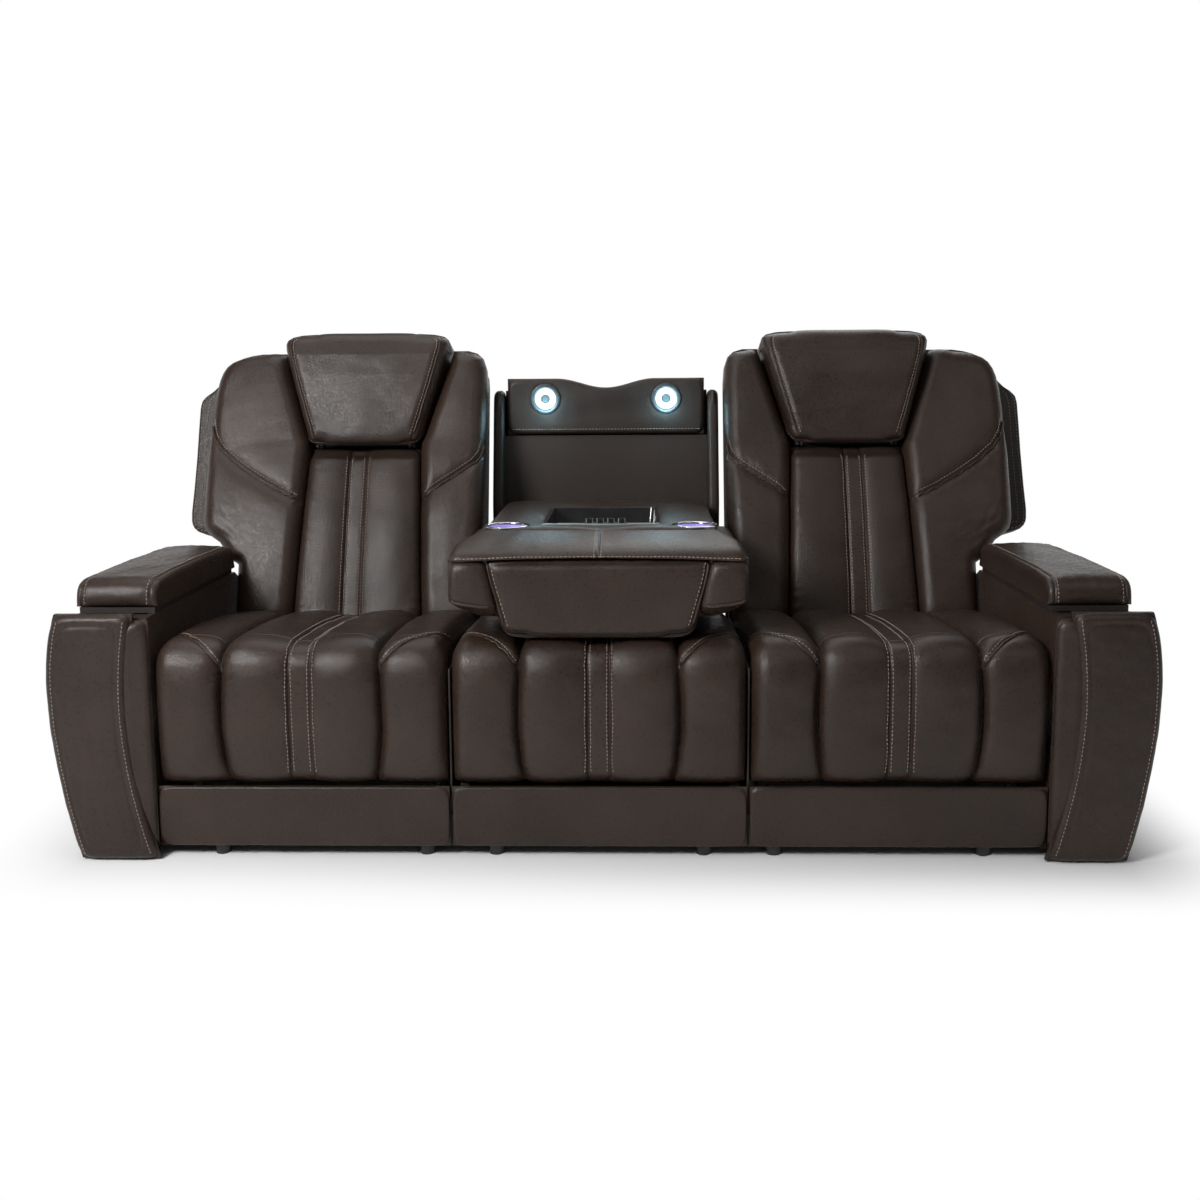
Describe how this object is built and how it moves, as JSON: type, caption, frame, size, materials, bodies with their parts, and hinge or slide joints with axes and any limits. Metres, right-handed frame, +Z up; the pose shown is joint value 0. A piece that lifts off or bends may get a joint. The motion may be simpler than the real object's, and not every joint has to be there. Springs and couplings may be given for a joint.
{
  "type": "power reclining sofa",
  "caption": "Three-place power reclining sofa in padded leather, with a fold-down middle table, reading lights, adjustable headrests and storage under the arm lids.",
  "frame": {"origin": "on the floor, under the middle of the sofa's outer box", "axes": "+X to the right as seen from the front, -Y the front, +Z up"},
  "size_m": [2.2406, 0.9862, 1.0815],
  "materials": {
    "leather": "satin brown leather",
    "leather_rear": "dark satin leather",
    "steel": "zinc plated",
    "timber": "raw plywood and pine",
    "black_plastic": "fine texture",
    "chrome": "polished rim",
    "light": "lit diffuser",
    "button": "satin grey"
  },
  "bodies": {
    "root": {"base_frame": "timber", "feet": "black_plastic", "kick_panels": "leather", "lid_hinges": "steel", "seat_middle_deck": "timber", "seat_middle_cushion": "leather", "middle_back_frame": "leather_rear", "recess_panel": "black_plastic", "light_bar": "leather_rear", "reading_lights": "light", "table_brackets": "steel", "arm_box_left": "timber", "arm_front_left": "leather", "arm_skin_left": "leather", "seat_frame_left": "steel", "seat_cushion_left": "leather", "recline_motor_left": "black_plastic", "arm_box_right": "timber", "arm_front_right": "leather", "arm_skin_right": "leather", "seat_frame_right": "steel", "seat_cushion_right": "leather", "recline_motor_right": "black_plastic"},
    "table": {"table_panel": "leather_rear", "table_cushion": "leather", "table_wings": "leather", "table_pillow": "leather", "cup_holders": "chrome", "tray_liner": "black_plastic", "socket_strip": "black_plastic"},
    "back_left": {"back_frame_left": "timber", "back_cushion_left": "leather", "back_shell_left": "leather_rear", "headrest_motor_left": "black_plastic"},
    "headrest_left": {"headrest_plate_left": "steel", "headrest_pillow_left": "leather"},
    "torque_tube_left": {"rear_links_left": "steel"},
    "front_bars_left": {"front_links_left": "steel"},
    "footrest_left": {"footrest_board_left": "timber", "footrest_pad_left": "leather"},
    "drive_left": {"motor_block_left": "steel"},
    "lid_left": {"lid_board_left": "timber", "lid_pad_left": "leather"},
    "light_switch_left": {"light_button_left": "button"},
    "back_right": {"back_frame_right": "timber", "back_cushion_right": "leather", "back_shell_right": "leather_rear", "headrest_motor_right": "black_plastic"},
    "headrest_right": {"headrest_plate_right": "steel", "headrest_pillow_right": "leather"},
    "torque_tube_right": {"rear_links_right": "steel"},
    "front_bars_right": {"front_links_right": "steel"},
    "footrest_right": {"footrest_board_right": "timber", "footrest_pad_right": "leather"},
    "drive_right": {"motor_block_right": "steel"},
    "lid_right": {"lid_board_right": "timber", "lid_pad_right": "leather"},
    "light_switch_right": {"light_button_right": "button"}
  },
  "joints": [
    {"name": "table_fold", "type": "hinge", "parent": "root", "child": "table", "pos_m": [0, 0.15, 0.46], "axis": [-1, 0, 0], "range_deg": [0, 96]},
    {"name": "recline_left", "type": "hinge", "parent": "root", "child": "back_left", "pos_m": [-0.61, 0.15, 0.33], "axis": [-1, 0, 0], "range_deg": [0, 42]},
    {"name": "headrest_tilt_left", "type": "hinge", "parent": "back_left", "child": "headrest_left", "pos_m": [-0.61, 0.27863, 0.81007], "axis": [1, 0, 0], "range_deg": [0, 35]},
    {"name": "footrest_tube_left", "type": "hinge", "parent": "root", "child": "torque_tube_left", "pos_m": [-0.61, -0.249, 0.236], "axis": [-1, 0, 0], "range_deg": [0, 60.05]},
    {"name": "footrest_knee_left", "type": "hinge", "parent": "torque_tube_left", "child": "front_bars_left", "pos_m": [-0.61, -0.349, 0.0628], "axis": [-1, 0, 0], "range_deg": [-120.05, 0]},
    {"name": "footrest_pivot_left", "type": "hinge", "parent": "front_bars_left", "child": "footrest_left", "pos_m": [-0.61, -0.36991, 0.2617], "axis": [-1, 0, 0], "range_deg": [0, 140.05]},
    {"name": "motor_block_left", "type": "slide", "parent": "root", "child": "drive_left", "axis": [0, -1, 0], "range_m": [0, 0.0601]},
    {"name": "arm_lid_left", "type": "hinge", "parent": "root", "child": "lid_left", "pos_m": [-1.083, -0.1475, 0.509], "axis": [0, -1, 0], "range_deg": [0, 95]},
    {"name": "light_button_left", "type": "slide", "parent": "root", "child": "light_switch_left", "axis": [0, 1, 0], "range_m": [0, 0.002], "stiffness_N_per_m": 400, "springref_m": -0.001},
    {"name": "recline_right", "type": "hinge", "parent": "root", "child": "back_right", "pos_m": [0.61, 0.15, 0.33], "axis": [-1, 0, 0], "range_deg": [0, 42]},
    {"name": "headrest_tilt_right", "type": "hinge", "parent": "back_right", "child": "headrest_right", "pos_m": [0.61, 0.27863, 0.81007], "axis": [1, 0, 0], "range_deg": [0, 35]},
    {"name": "footrest_tube_right", "type": "hinge", "parent": "root", "child": "torque_tube_right", "pos_m": [0.61, -0.249, 0.236], "axis": [-1, 0, 0], "range_deg": [0, 60.05]},
    {"name": "footrest_knee_right", "type": "hinge", "parent": "torque_tube_right", "child": "front_bars_right", "pos_m": [0.61, -0.349, 0.0628], "axis": [-1, 0, 0], "range_deg": [-120.05, 0]},
    {"name": "footrest_pivot_right", "type": "hinge", "parent": "front_bars_right", "child": "footrest_right", "pos_m": [0.61, -0.36991, 0.2617], "axis": [-1, 0, 0], "range_deg": [0, 140.05]},
    {"name": "motor_block_right", "type": "slide", "parent": "root", "child": "drive_right", "axis": [0, -1, 0], "range_m": [0, 0.0601]},
    {"name": "arm_lid_right", "type": "hinge", "parent": "root", "child": "lid_right", "pos_m": [1.083, -0.1475, 0.509], "axis": [0, 1, 0], "range_deg": [0, 95]},
    {"name": "light_button_right", "type": "slide", "parent": "root", "child": "light_switch_right", "axis": [0, 1, 0], "range_m": [0, 0.002], "stiffness_N_per_m": 400, "springref_m": -0.001}
  ],
  "couplings": [
    {"joint": "footrest_tube_left", "follows": "recline_left", "ratio": 1.4286},
    {"joint": "footrest_knee_left", "follows": "recline_left", "ratio": -2.8571},
    {"joint": "footrest_pivot_left", "follows": "recline_left", "ratio": 3.3333},
    {"joint": "motor_block_left", "follows": "recline_left", "m_per_rad": 0.081851},
    {"joint": "footrest_tube_right", "follows": "recline_right", "ratio": 1.4286},
    {"joint": "footrest_knee_right", "follows": "recline_right", "ratio": -2.8571},
    {"joint": "footrest_pivot_right", "follows": "recline_right", "ratio": 3.3333},
    {"joint": "motor_block_right", "follows": "recline_right", "m_per_rad": 0.081851}
  ]
}
